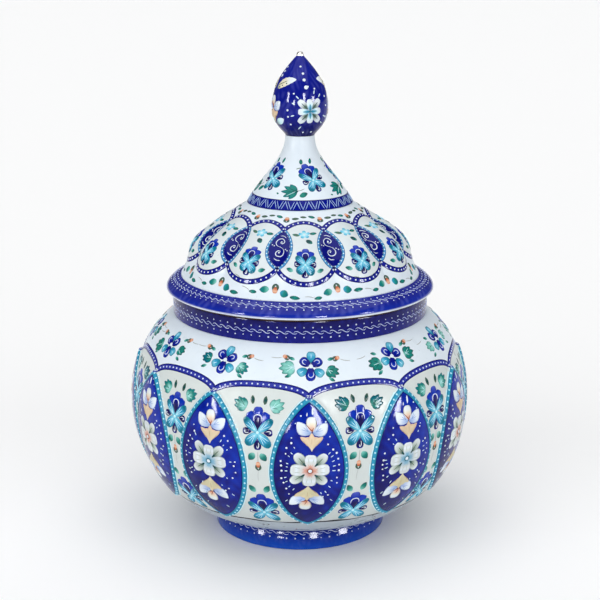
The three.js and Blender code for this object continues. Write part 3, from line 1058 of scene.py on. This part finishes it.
def blossom(board, form):
    """A blossom of three petals in a pale calyx with three points."""
    for base, tip in np.array(form["sides"]):
        board.petal(base, tip, 5.3, BLOSSOM_SIDE, WING, layer=0.05, rise=0.2,
                    bend=form["droop"] * np.sign(tip[0]), edge=PURE, outline=mix(SLATE, PURE, 0.3))
        aside = left_of(tip - base) * 0.16
        for side in (-1, 0, 1):
            hair(board, base * 0.8 + tip * 0.2, base * 0.42 + tip * 0.58 + aside * side, 0.24, SLATE, 0.22)
    board.petal(*form["end"], BLOSSOM_END, ROUND, layer=0.07, rise=0.2, edge=PURE,
                outline=mix(OCHRE, OLIVE, 0.5))
    points, shades = np.array(form["points"]), form["shades"]
    board.petal((0, 0), points[1] * 0.8, 6.4, shades, FLARED, layer=0.19, rise=0.12)
    for point, flare in zip(points, (1, 0, -1)):
        board.petal((0, 0), point, 2.7, shades, SPIKE, layer=0.2, rise=0.14,
                    bend=0.14 * flare * np.sign(point[1]), outline=mix(OCHRE, BROWN, 0.4))
    for line in form["lines"]:
        hair(board, *line, 0.34, BROWN, 0.3)
    for point in points:
        hair(board, point * 0.4, point * 0.72, 0.22, mix(BROWN, OCHRE, 0.5), 0.33)


def along_path(azimuth, way, surface, step):
    """Places about a step apart along a path on a surface."""
    length = np.hypot(np.diff(azimuth) * surface.radius(way[:-1]), np.diff(way))
    path = np.concatenate([[0], np.cumsum(length)])
    count = max(1, int(round(path[-1] / step)))
    even = (np.arange(count) + 0.5) * path[-1] / count
    return np.interp(even, path, azimuth), np.interp(even, path, way)


# Ways of the rows of flowers and leaves
FLOWER_WAY = BOWL.along(52.65)
PANEL_WAY = BOWL.along(67.6)
PANEL_FOOT_WAY = BOWL.along(29.6)
SHOULDER_WAY = BOWL.along(93.4)
DOME_BUD_WAY = DOME.along(121.6)
DOME_FLOWER_WAY = DOME.along(131.4)
DOME_STAR_WAY = DOME.along(141.6)
CROWN_BUD_WAY = DOME.along(146.3)
CROWN_LEAF_WAY = DOME.along(147.2)
SPIRE_LEAF_WAY = SPIRE.along(156.6)
SPIRE_FLOWER_WAY = SPIRE.along(160.8)
SPIRE_TIP_WAY = SPIRE.along(168.0)
BULB_BLOSSOM_WAY = BULB.along(184.8)
BULB_FLOWER_WAY = BULB.along(190.0)
BULB_LEAF_WAY = BULB.along(200.4)

# Bands of the bowl: the almonds' borders, the arches and the base line
borders = Ornament("almond_borders", BOWL, "white_enamel")
BORDER_WIDTH = 2.1
BEAD_INSET = 1.05
share = eased(0.035, 1, 90)
side_ways = BOWL.along(ALMOND_HEAD - share * (ALMOND_HEAD - ALMOND_TAIL))
side_turns = almond_width(share)
inset_turns = side_turns * (1.0 - BEAD_INSET / (np.maximum(side_turns, 0.02) * BOWL.radius(side_ways)))
way = np.concatenate([side_ways, side_ways[::-1][1:]])
for centre in CENTRES:
    azimuth, inset = (np.concatenate([centre + turns, (centre - turns)[::-1][1:]])
                      for turns in (side_turns, inset_turns))
    borders.band(azimuth, way, BORDER_WIDTH, mix(TURQUOISE, TEAL, 0.25), 0.12, BORDER_WIDTH / 2,
                 edge=mix(TURQUOISE, TEAL, 0.65))
    borders.band(azimuth, way, 0.4, PALE, 0.12, -0.05)
    borders.band(azimuth, way, 0.4, mix(DEEP, NAVY, 0.4), 0.1, BORDER_WIDTH + 0.15)
    borders.beads(*along_path(inset, way, BOWL, 2.6), 0.45, mix(AQUA, PALE, 0.6), 0.1, 0.2)

arches = Ornament("arch_bands", BOWL, "blue_enamel")
ARCH_WIDTH = 3.1
place = -np.cos(np.linspace(0.02, 0.98, 60) * math.pi)
way = arch_way(place)
for start, gap in zip(CENTRES, GAPS):
    azimuth = start + gap * (place + 1) / 2
    arches.band(azimuth, way, ARCH_WIDTH, mix(VIOLET, LILAC, 0.15), 0.12, edge=mix(NAVY, DEEP, 0.4))
    arches.beads(*along_path(azimuth, way, BOWL, 2.4), 0.43, mix(PURE, MIST, 0.5), 0.1, 0.2)

turns = full_turn(720)
wander = 0.25 * np.sin(5 * turns + 1) + 0.2 * np.sin(13 * turns) + 0.12 * np.sin(31 * turns)
thick = 1.15 + 0.45 * np.sin(9 * turns) + 0.35 * np.sin(23 * turns + 2)
arches.band(turns, BOWL.along(BASE_LINE) + wander, np.clip(thick, 0.5, 1.8), INK, 0.08, ring=True)
SPECKS = 18
for _ in range(SPECKS):
    way = BOWL.along(BASE_LINE - dice.uniform(1.0, 6.0))
    arches.beads(dice.uniform(0, TURN), way, dice.uniform(0.25, 0.65), dice.choice((INK, INK, BROWN)),
                 rise=0.05)

# Inside the almonds
BOSS_RELIEF = 0.5
flowers = Ornament("almond_flowers", BOWL, "white_enamel", BOSS_RELIEF)
sparks = Ornament("almond_sparks", BOWL, "white_enamel", BOSS_RELIEF)
SPARK = mix(PURE, PALE, 0.6)
SPARK_RAYS = 11
SPARK_FIRST = -68
SPARK_STEP = 12.8
SPARK_REACH = 9.4
DOT_REACH = 11.8
for index, centre in enumerate(CENTRES):
    lean = dice.uniform(-0.02, 0.035)
    place = (centre + dice.uniform(-0.003, 0.006), FLOWER_WAY + vary(0.5), lean)
    white_flower(Board(flowers, *place), index % 2 == 0)
    blossom(Board(flowers, centre + 0.012, FLOWER_WAY + 8.0, lean), BLOSSOM_UP)
    blossom(Board(flowers, centre - 0.006, FLOWER_WAY - 7.3, lean), BLOSSOM_DOWN)
    board = Board(sparks, *place)
    sprig(board, (hair, 0.7, 23.8, 0.9, 27.0, 0.9, PURE, 0.02),
          (hair, -1.6, 23.3, -1.4, 24.7, 0.5, PURE, 0.02))
    for side in SIDES:
        for step in range(SPARK_RAYS):
            turn = (SPARK_FIRST + step * SPARK_STEP + vary(3)) * DEGREE
            ahead = ray(turn, side)
            stretch = 1 + 0.26 * abs(math.sin(turn)) ** 2
            inner = (SPARK_REACH + vary(0.5)) * stretch
            if dice.random() < 0.74:
                outer = inner + dice.uniform(0.7, 1.5)
                hair(board, ahead * inner, ahead * outer, dice.uniform(0.32, 0.5), SPARK)
            if dice.random() < 0.86:
                outer = DOT_REACH * stretch + dice.uniform(-0.6, 0.5)
                board.dots(ahead * outer, dice.uniform(0.34, 0.52), PURE)
        for x, y in ((3.9, 24.0), (5.6, 20.8), (7.4, 14.4), (3.0, 26.4)):
            if dice.random() < 0.75:
                board.dots((side * x + vary(0.5), y + vary(0.6)),
                           dice.uniform(0.26, 0.42), mix(PURE, PALE, 0.4))
        sprig(board, (hair, 4.4, -22.6, 5.4, -23.5, 0.36, SPARK), (hair, 8.6, -14.8, 9.6, -15.7, 0.36, SPARK),
              side=side)

# Panels between the almonds
panels = Ornament("panel_flowers", BOWL, "blue_enamel")
leaves = Ornament("panel_leaves", BOWL, "white_enamel")
for start, gap in zip(CENTRES, GAPS):
    middle = start + gap / 2
    place = (middle, PANEL_WAY, vary(0.06), dice.uniform(0.93, 1.0))
    blue_flower(Board(panels, *place))
    board = Board(leaves, *place)
    for side in SIDES:
        toothed_leaf(board, (side * 5.2, 10.6), (side * 11.4, 13.4 + vary(0.8)), 5.6)
        leaf(board, (side * 2.6, 12.2), (side * (3.3 + dice.uniform(-0.3, 0.5)), 16.2), 2.1,
             (OLIVE, FOREST, OLIVE))
        sprig(board, (leaf, 1.3, -9.4, 4.0, -12.9, 3.5, MINT_LEAF),
              (hair, 6.6, 10.4, 9.6, 8.6, 0.3, GREY, 0.02, 0.2), side=side)
    sprig(board, (bud, 0.3, -17.8, 0.2, -13.4, 2.4), (hair, 0.2, -8.6, 0.25, -14.0, 0.25, GREY, 0.02),
          (hair, 0.3, -17.8, 0.1, -23.4, 0.22, mix(GREY, CREAM, 0.4), 0.02, 0.06))
    place = (middle + vary(0.01), PANEL_FOOT_WAY, vary(0.05), 0.97)
    blue_flower(Board(panels, *place), foot=False)
    for side in SIDES:
        leaf(Board(leaves, *place), (side * 2.0, 12.2), (side * 4.4, 16.0), 3.0, MINT_LEAF)

# Sprigs on the shoulder, one over each almond
sprigs = Ornament("shoulder_sprigs", BOWL, "blue_enamel")
for centre in CENTRES:
    place = (centre + 0.018, SHOULDER_WAY + vary(0.4))
    six_flower(Board(sprigs, *place, vary(0.4)))
    board = Board(sprigs, *place, vary(0.12))
    for side in SIDES:
        size = dice.uniform(0.8, 1.1)
        tip = (side * (6.4 + 6.4 * size), -2.2 + vary(1.4))
        toothed_leaf(board, (side * 6.4, -1.0), tip, 5.4 * size)
        height = dice.uniform(2.8, 4.4)
        leaf(board, (side * 6.6, height - 0.6), (side * 9.2, height + 0.4), 1.7, MINT_LEAF)
        if dice.random() < 0.7:
            bud(board, (side * 8.8, height - 0.4), (side * 11.6, height + 0.9), 2.2)
        sprig(board, (hair, 11.8, height, 16.4, height - 0.6, 0.28, GREY, 0.02, 0.08 * side),
              (leaf, 7.6, -4.4, 10.4, -5.8, 1.5, MINT_LEAF), side=side)

# Lid dome
circles = Ornament("dome_circles", DOME, "blue_enamel")
lenses = Ornament("dome_lenses", DOME, "white_enamel")
dome_flowers = Ornament("dome_flowers", DOME, "blue_enamel")
dome_sprigs = Ornament("dome_sprigs", DOME, "white_enamel")
edge_place = np.sin(np.linspace(-1, 1, 44) * math.pi / 2)
lens_turns = full_turn(72)
lens_up = LENS_REACH * np.sin(lens_turns)
lens_aside = lens_width(lens_up) * np.sign(np.cos(lens_turns))
lens_way = CIRCLE_WAY + CIRCLE_RISE * lens_up
lens_beads = lens_aside * (1 + 0.55 / (LENS_HALF * DOME.radius(lens_way)))
swirl_turns = np.linspace(1.1, 3.5, 40) * math.pi
swirl_radius = np.linspace(0.5, 2.75, 40)
swirl = np.stack([0.3 + swirl_radius * np.cos(swirl_turns),
                  2.9 + 1.05 * swirl_radius * np.sin(swirl_turns)], -1)
for centre in LOBE_START + full_turn(LOBES):
    between = centre + CIRCLE_HALF
    azimuth = centre + CIRCLE_HALF * edge_place
    for upward in (1, -1):
        way = CIRCLE_WAY + upward * CIRCLE_RISE * scallop(edge_place)
        circles.band(azimuth, way, 2.5, mix(VIOLET, NAVY, 0.4), 0.12, edge=mix(NAVY, DEEP, 0.5))
        circles.beads(*along_path(azimuth, way, DOME, 2.3), 0.42, PURE, 0.1, 0.18)
    lenses.band(between + lens_aside, lens_way, 1.4, mix(TURQUOISE, LILAC, 0.35), 0.1, 0.5, ring=True,
                edge=mix(TEAL, NAVY, 0.35))
    lenses.beads(*along_path(between + lens_beads, lens_way, DOME, 1.9), 0.33, mix(PALE, PURE, 0.5), 0.09)
    board = Board(lenses, between, CIRCLE_WAY, vary(0.08))
    for side in SIDES:
        board.stroke(side * swirl, 0.42, PURE, 0.02)
        hair(board, (side * 2.2, side * 5.4), (-side * 0.6, side * 6.6), 0.36, PURE, 0.02, 0.2)
        board.dots((side * 0.3, side * 2.9), 0.42, PURE)
        board.dots([(-side * 2.6, side * 1.0), (side * 3.4, -side * 1.6)], 0.3, PURE)
    board = Board(dome_flowers, centre + vary(0.01), DOME_FLOWER_WAY, vary(0.1), 0.69)
    blue_flower(board, drop=4.5, reach=0.9, full=1.2)
    upper = Board(dome_flowers, centre, DOME_STAR_WAY, vary(0.2))
    for turn in full_turn(5):
        ahead = ray(turn + 0.3)
        upper.petal(ahead * 0.3, ahead * 2.5, 1.8, (PALE, AQUA, TURQUOISE), rise=0.12)
    upper.dots((0, 0), 0.45, PURE, 0.1)
    sprig(upper, (leaf, -2.0, -0.4, -5.2, 0.4, 1.8, (GREEN, OLIVE, GREEN)), (leaf, 2.2, 0.2, 5.4, -0.2, 1.9),
          (leaf, 0.2, -3.2, 2.6, -5.8, 2.4, (FOREST, FOREST, GREEN)))
    for side in SIDES:
        sprig(board, (leaf, 7.2, -4.2, 11.6, -3.0, 2.9, MINT_LEAF),
              (hair, 3.0, -10.4, 7.6, -8.8, 0.35, OLIVE, 0.02, 0.1), side=side)
    below = Board(dome_sprigs, between, DOME_BUD_WAY, vary(0.15))
    sprig(below, (bud, 0, 2.0, 0.2, -1.9, 2.7), (leaf, -2.4, -0.4, -6.6, -1.2, 3.1, (MINT, GREEN, TEAL)),
          (leaf, 2.4, -0.8, 6.2, -1.8, 3.4, (TURQUOISE, GREEN, TEAL)), (leaf, 6.8, -2.2, 11.4, -2.4, 1.9),
          (leaf, -7.4, -2.4, -11.0, -2.6, 1.7), (hair, -10.8, -2.2, -14.6, -1.2, 0.3, GREY, 0.02, 0.1))
    above = Board(dome_sprigs, between, CROWN_BUD_WAY, vary(0.3), 1.1)
    sprig(above, (bud, 0.2, -2.0, 0, 1.2, 2.2), (leaf, -1.8, 0.6, -4.6, 1.4, 1.7),
          (leaf, 1.8, 0.6, 4.8, 1.2, 1.6, OLIVE_LEAF))
    leaf(Board(dome_sprigs, centre, CROWN_LEAF_WAY), (-1.4, 0), (1.5, vary(0.4)), 1.4, OLIVE_LEAF)

# Spire: zigzag band and flowers
zigzag = Ornament("spire_zigzag", SPIRE, "white_enamel")
ZIGZAGS = 54
pitch = TURN * SPIRE_FOOT / ZIGZAGS
band_height = ZIGZAG_HIGH - ZIGZAG_LOW - 0.5
for index, turn in enumerate(full_turn(ZIGZAGS)):
    board = Board(zigzag, turn, ZIGZAG_LOW + 0.25)
    slope = (1 if index % 2 else -1) * pitch * 0.3
    for shift in (-0.21 * pitch, 0.21 * pitch):
        hair(board, (shift - slope, 0.1), (shift + slope, band_height - 0.1), 0.27, mix(LILAC, PALE, 0.6),
             0.02)
turns = full_turn(240)
for way in (ZIGZAG_LOW, ZIGZAG_HIGH):
    zigzag.band(turns, np.full(240, way), 0.45, mix(NAVY, DEEP, 0.5), 0.09, ring=True)

spire_flowers = Ornament("spire_flowers", SPIRE, "blue_enamel")
SPIRE_FLOWERS = 5
SPIRE_START = 22 * DEGREE
for azimuth in SPIRE_START + full_turn(SPIRE_FLOWERS):
    blue_flower(Board(spire_flowers, azimuth, SPIRE_FLOWER_WAY, dice.uniform(0.1, 0.4), 0.74))
    beside = Board(spire_flowers, azimuth - TURN / SPIRE_FLOWERS / 2, SPIRE_LEAF_WAY, vary(0.2))
    sprig(beside, (toothed_leaf, 3.8, 0.6, -4.0, -0.6, 4.6, (FOREST, GREEN, GREEN, TEAL)),
          (leaf, 4.8, -1.6, 8.0, 0.2, 2.8, (GREEN, GREEN, FOREST)), (leaf, -4.6, -2.0, -5.8, -1.6, 0.9),
          (hair, 2.4, 0.8, 6.0, 2.2, 0.26, OLIVE, 0.02, 0.15))
    sprig(Board(spire_flowers, azimuth - 0.1, SPIRE_TIP_WAY), (leaf, -2.6, -1.2, -2.2, 1.4, 1.7),
          (leaf, 1.4, -1.0, 1.8, 1.8, 1.5), (hair, -5.0, -3.4, -2.6, -2.8, 0.4, OLIVE, 0.02, -0.1))

# Bulb: two flowers and two blossoms
bulb_flowers = Ornament("bulb_flowers", BULB, "white_enamel")


def bulb_flower(azimuth):
    """An eight-petalled flower with sparks round it and dots above."""
    board = Board(bulb_flowers, azimuth, BULB_FLOWER_WAY, 0.03)
    for step, turn in enumerate(full_turn(8)):
        ahead = ray(turn)
        if step % 2:
            board.petal(ahead * 1.2, ahead * 7.0, 3.4, (FOREST, OLIVE, PURE, PURE), TUFT, edge=PURE)
            hair(board, ahead * 2.4, ahead * 5.2, 0.4, FOREST, 0.15)
        else:
            board.petal(ahead * 0.2, ahead * 5.3, 3.2, (TEAL, TURQUOISE, PALE, PURE, PURE), BLUNT, layer=0.05,
                        edge=PURE)
            hair(board, ahead * 0.4, ahead * 3.2, 0.7, mix(TEAL, TURQUOISE, 0.5), 0.19)
    board.dots((0, 0), 0.45, TEAL, 0.2)
    for turn in full_turn(17):
        ahead = ray(turn + dice.uniform(0.0, 0.2), 1.0, 1.05)
        if dice.random() < 0.7:
            start = dice.uniform(7.0, 7.8)
            hair(board, ahead * start, ahead * (start + 1.6), 0.6, mix(PURE, PALE, 0.5), 0.02)
        if dice.random() < 0.6:
            board.dots(ahead * dice.uniform(9.4, 10.6), dice.uniform(0.38, 0.55), PURE)
    for x, y, radius in ((-0.9, 10.3, 0.95), (-1.1, 13.7, 0.75), (-0.9, 16.7, 0.6), (-1.1, 20.2, 0.5)):
        board.dots((x, y), radius, PURE)


def bulb_blossom(azimuth):
    """A blossom between two leaves, under two larger leaves and three dots."""
    board = Board(bulb_flowers, azimuth, BULB_BLOSSOM_WAY, 0.0, 0.8)
    blossom(board, BLOSSOM_UP)
    upper = Board(bulb_flowers, azimuth, BULB_LEAF_WAY)
    for side in SIDES:
        upper.petal((side * 0.8, -1.2), (side * 9.4, 3.2), 5.0, (OLIVE, SAND, SAND, PURE, PURE), LEAF,
                    rise=0.14, bend=-0.1 * side)
        hair(upper, (side * 1.6, 0.2), (side * 5.6, 2.4), 0.4, OLIVE, 0.12)
        upper.dots([(side * 4.0, 0.2), (side * 5.8, 1.2), (side * 2.6, -0.6)], 0.34, FOREST, 0.12, 0.1)
        board.petal((side * 1.0, -1.0), (side * 8.2, 2.4), 4.0, (OLIVE, PALE, PURE), LEAF, rise=0.14)
    for step in range(3):
        upper.dots((0, 4.6 + 2.2 * step), 0.7 - 0.12 * step, PURE)


for index, motif in enumerate((bulb_flower, bulb_blossom) * 2):
    motif((21 + 90 * index) * DEGREE)

BRAID_LINK = np.array([(-0.66, 0.25), (-0.56, 0.8), (-0.34, 0.95), (-0.12, 0.5), (0.12, -0.5), (0.34, -0.95),
                       (0.56, -0.8), (0.66, -0.25)])


def braid(name, surface, way, dot_ways, count, rise):
    """A braided line round a surface, with rows of dots."""
    paint = Ornament(name, surface, "white_enamel")
    path = smooth(BRAID_LINK * (TURN * float(surface.radius(way)) / count, rise), 16)
    turns = full_turn(count)
    for turn in turns:
        board = Board(paint, turn + vary(0.002), way, vary(0.05))
        board.stroke(path, 0.33, mix(mix(LILAC, MIST, 0.6), PURE, dice.uniform(0, 0.7)), 0.02, thin=0.5)
    wander = np.array([vary(0.12) for _ in turns])
    sizes = np.array([dice.uniform(0.24, 0.4) for _ in turns])
    for dot_way in dot_ways:
        paint.beads(turns + 0.45 * TURN / count, dot_way + wander, sizes, mix(MIST, PURE, 0.5))
    return paint


braids = (braid("neck_braid", NECK, 4.6, (6.7, 2.5), 96, 0.72),
          braid("rim_braid", RIM, 5.2, (6.9, 3.6), 104, 0.55),
          braid("foot_braid", FOOT, 7.6, (5.5,), 64, 0.68))
for paint in (*braids, borders, arches, flowers, sparks, panels, leaves, sprigs, circles, lenses,
              dome_flowers, dome_sprigs, zigzag, spire_flowers, bulb_flowers):
    paint.piece()

# Floor, light and camera, in metres
FLOOR_HALF = 9.0
FLOOR_DROP = 0.0002
floor_mesh = bpy.data.meshes.new("floor")
corners = [(x * FLOOR_HALF, y * FLOOR_HALF, 0) for x, y in ((-1, -1), (1, -1), (1, 1), (-1, 1))]
floor_mesh.from_pydata(corners, [], [(0, 1, 2, 3)])
floor = bpy.data.objects.new("floor", floor_mesh)
floor.location.z = -FLOOR_DROP
bpy.context.scene.collection.objects.link(floor)
paper = Nodes("pale_paper")
fibres = paper.range(paper.noise(60, 4), 0.3, 0.7, 0, 0.03)
paper.fill(paper.shader, {"Base Color": paper.blend("MIX", fibres, (0.98, 0.98, 0.98), (0.94, 0.945, 0.95)),
                          "Roughness": 0.8, "Specular IOR Level": 0.0})
floor_mesh.materials.append(paper.material)

AIM = Vector((0, 0, 0.10386))
CAMERA_RISE = 15.0
CAMERA_FAR = 0.621
LAMP_FAR = 200.0
PANE_LIGHT = 52


def aimed(name, data, azimuth, rise, far):
    """A camera or lamp that looks at the aim from an azimuth and a rise in degrees."""
    azimuth, rise = azimuth * DEGREE, rise * DEGREE
    level = far * math.cos(rise)
    thing = bpy.data.objects.new(name, data)
    offset = Vector((level * math.sin(azimuth), -level * math.cos(azimuth), far * math.sin(rise)))
    thing.location = AIM + offset
    thing.rotation_euler = (AIM - thing.location).to_track_quat("-Z", "Y").to_euler()
    bpy.context.scene.collection.objects.link(thing)
    return thing


def soft_box(name, azimuth, rise, width, height, radiance):
    """A far lamp that covers so many degrees across and up."""
    lamp = bpy.data.lights.new(name, "AREA")
    lamp.shape = "RECTANGLE"
    lamp.size = 2 * LAMP_FAR * math.tan(width * DEGREE / 2)
    lamp.size_y = 2 * LAMP_FAR * math.tan(height * DEGREE / 2)
    lamp.energy = radiance * math.pi * lamp.size * lamp.size_y
    return aimed(name, lamp, azimuth, rise, LAMP_FAR)


camera = bpy.data.cameras.new("camera")
camera.lens = 82.8
camera.sensor_width = 36.0
bpy.context.scene.camera = aimed("camera", camera, 0, CAMERA_RISE, CAMERA_FAR)

# The gloss shows the top lamp and the windows, and the windows light nothing else
soft_box("soft_top", 0, 88, 70, 70, 1.48)
for lamp in (("soft_left", -42, 22, 60, 40, 2.0), ("soft_right", 36, 18, 60, 40, 1.75),
             ("soft_back", 180, 6, 100, 14, 2.1)):
    soft_box(*lamp).visible_glossy = False
for pane in (("left_window", -52, 13, 8, 20), ("left_pane", -25, 4, 7, 9), ("right_window", 18, 13, 9, 24),
             ("right_pane", 58, 7, 11, 13)):
    soft_box(*pane, PANE_LIGHT).visible_diffuse = False

world = bpy.data.worlds.new("studio")
bpy.context.scene.world = world
world.use_nodes = True
sky = world.node_tree.nodes["Background"]
sky.inputs["Color"].default_value = (0.95, 0.97, 1.0, 1)
sky.inputs["Strength"].default_value = 0.14

bpy.context.scene.view_settings.view_transform = "Standard"
